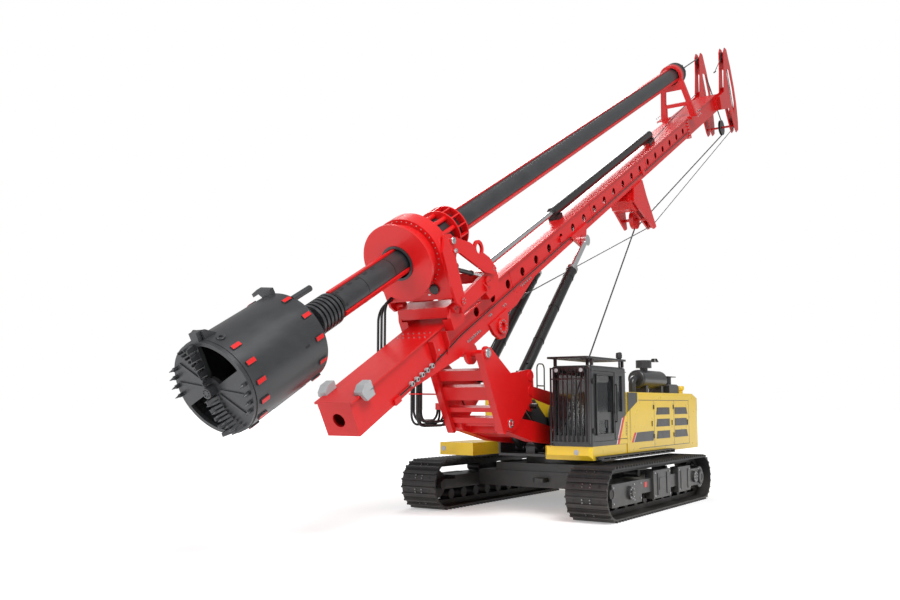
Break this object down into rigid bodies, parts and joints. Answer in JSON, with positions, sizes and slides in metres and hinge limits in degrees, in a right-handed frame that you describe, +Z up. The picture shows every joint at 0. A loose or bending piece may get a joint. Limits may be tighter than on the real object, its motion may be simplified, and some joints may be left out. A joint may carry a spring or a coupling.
{
  "type": "rotary piling rig",
  "caption": "Crawler rotary piling rig with slewing cab, parallel luffing linkage, laid-back mast, crowd-driven rotary drive, keyed kelly bar and drilling bucket.",
  "frame": {"origin": "on the ground under the middle of the whole rig's length and width", "axes": "+X forward towards the drilling tool, +Y to the machine's left, the cab side, +Z up"},
  "size_m": [22.5084, 4.4, 13.6631],
  "materials": {
    "black_paint": "gloss",
    "chrome": "polished",
    "dark_paint": "satin",
    "glass": "clear",
    "red_paint": "gloss",
    "seat_black": "matte",
    "steel": "brushed",
    "tool_grey": "satin",
    "track_steel": "satin",
    "yellow_paint": "gloss"
  },
  "bodies": {
    "undercarriage": {"car_body": "dark_paint", "side_frame_left": "dark_paint", "side_frame_right": "dark_paint", "track_left": "track_steel", "track_right": "track_steel", "track_wheels": "track_steel", "track_rollers": "track_steel"},
    "upper": {"upper_frame": "dark_paint", "house_left": "yellow_paint", "house_right": "yellow_paint", "hood": "yellow_paint", "engine_block": "dark_paint", "counterweight": "yellow_paint", "front_boxes": "yellow_paint", "cab_floor": "dark_paint", "cab_shell": "dark_paint", "cab_roof": "dark_paint", "cab_glass": "glass", "cab_guards": "black_paint", "roof_guard": "black_paint", "operator_seat": "seat_black", "air_cleaner": "dark_paint", "exhaust": "dark_paint", "main_winch": "dark_paint", "handrails": "black_paint"},
    "cab_door": {"cab_door": "dark_paint", "door_glass": "glass"},
    "luff_arm": {"luff_arm": "red_paint"},
    "upper_links": {"upper_links": "red_paint"},
    "tilt_frame": {"tilt_frame": "red_paint", "frame_hoses": "black_paint"},
    "luff_ram_barrels": {"luff_ram_barrels": "black_paint"},
    "luff_ram_rods": {"luff_ram_rods": "chrome"},
    "mast_ram_barrels": {"mast_ram_barrels": "black_paint"},
    "mast_ram_rods": {"mast_ram_rods": "chrome"},
    "mast": {"mast_lower": "red_paint", "mast_upper": "red_paint", "mast_head": "red_paint", "head_sheaves": "dark_paint", "rope_guide": "red_paint", "crowd_cylinder": "black_paint"},
    "rotary_drive": {"drive_gearbox": "red_paint", "drive_dampers": "dark_paint", "drive_carriage": "red_paint", "drive_hoses": "black_paint", "crowd_rod": "chrome"},
    "drive_sleeve": {"drive_sleeve": "steel"},
    "kelly_guide": {"kelly_guide": "red_paint"},
    "kelly": {"kelly_bar": "tool_grey", "kelly_keys": "red_paint", "kelly_spring": "tool_grey", "kelly_swivel": "dark_paint", "bucket_shell": "tool_grey"},
    "bucket_lid": {"bucket_lid": "tool_grey"}
  },
  "joints": [
    {"name": "slew", "type": "hinge", "parent": "undercarriage", "child": "upper", "pos_m": [1.1, 0, 1], "axis": [0, 0, 1], "continuous": true},
    {"name": "cab_door_swing", "type": "hinge", "parent": "upper", "child": "cab_door", "pos_m": [2.521, 1.7643, 2], "axis": [0, 0, 1], "range_deg": [0, 100]},
    {"name": "luff", "type": "hinge", "parent": "upper", "child": "luff_arm", "pos_m": [2.46, 0, 1.44], "axis": [0, -1, 0], "range_deg": [-8, 45]},
    {"name": "link_follow", "type": "hinge", "parent": "upper", "child": "upper_links", "pos_m": [1.68, 0, 2.04], "axis": [0, -1, 0], "range_deg": [-9, 46]},
    {"name": "frame_level", "type": "hinge", "parent": "luff_arm", "child": "tilt_frame", "pos_m": [4.47, 0, 1.735], "axis": [0, -1, 0], "range_deg": [-46, 9]},
    {"name": "luff_ram_turn", "type": "hinge", "parent": "upper", "child": "luff_ram_barrels", "pos_m": [2.55, 0, 1.235], "axis": [0, -1, 0], "range_deg": [-7.89, 39.76]},
    {"name": "luff_ram_stroke", "type": "slide", "parent": "luff_ram_barrels", "child": "luff_ram_rods", "axis": [0.7851, 0, 0.6194], "range_m": [-0.1421, 0.7532]},
    {"name": "mast_tilt", "type": "hinge", "parent": "tilt_frame", "child": "mast", "pos_m": [5.27, 0, 2.96], "axis": [0, 1, 0], "range_deg": [-28, 61.26]},
    {"name": "mast_ram_turn", "type": "hinge", "parent": "tilt_frame", "child": "mast_ram_barrels", "pos_m": [3.71, 0, 2.605], "axis": [0, 1, 0], "range_deg": [-29.03, 62.32]},
    {"name": "mast_ram_stroke", "type": "slide", "parent": "mast_ram_barrels", "child": "mast_ram_rods", "axis": [-0.6905, 0, 0.7233], "range_m": [-0.7551, 1.6402]},
    {"name": "crowd", "type": "slide", "parent": "mast", "child": "rotary_drive", "axis": [-0.8768, 0, 0.4808], "range_m": [-1, 2.9]},
    {"name": "kelly_hoist", "type": "slide", "parent": "mast", "child": "kelly_guide", "axis": [-0.8768, 0, 0.4808], "range_m": [-9, 1]},
    {"name": "kelly_turn", "type": "hinge", "parent": "kelly_guide", "child": "kelly", "pos_m": [-6.2724, 0, 11.65633], "axis": [-0.8768, 0, 0.4808], "continuous": true},
    {"name": "sleeve_turn", "type": "hinge", "parent": "rotary_drive", "child": "drive_sleeve", "pos_m": [7.05512, 0, 4.34762], "axis": [-0.8768, 0, 0.4808], "continuous": true},
    {"name": "bucket_lid_swing", "type": "hinge", "parent": "kelly", "child": "bucket_lid", "pos_m": [11.08981, 0, 2.94935], "axis": [0, -1, 0], "range_deg": [0, 80]}
  ],
  "couplings": [
    {"joint": "link_follow", "follows": "luff", "ratio": 1},
    {"joint": "frame_level", "follows": "luff", "ratio": -1},
    {"joint": "luff_ram_turn", "follows": "luff", "ratio": 0.8614},
    {"joint": "luff_ram_stroke", "follows": "luff", "m_per_rad": 0.9463},
    {"joint": "mast_ram_turn", "follows": "mast_tilt", "ratio": 1.001},
    {"joint": "mast_ram_stroke", "follows": "mast_tilt", "m_per_rad": 1.5248},
    {"joint": "sleeve_turn", "follows": "kelly_turn", "ratio": 1}
  ]
}
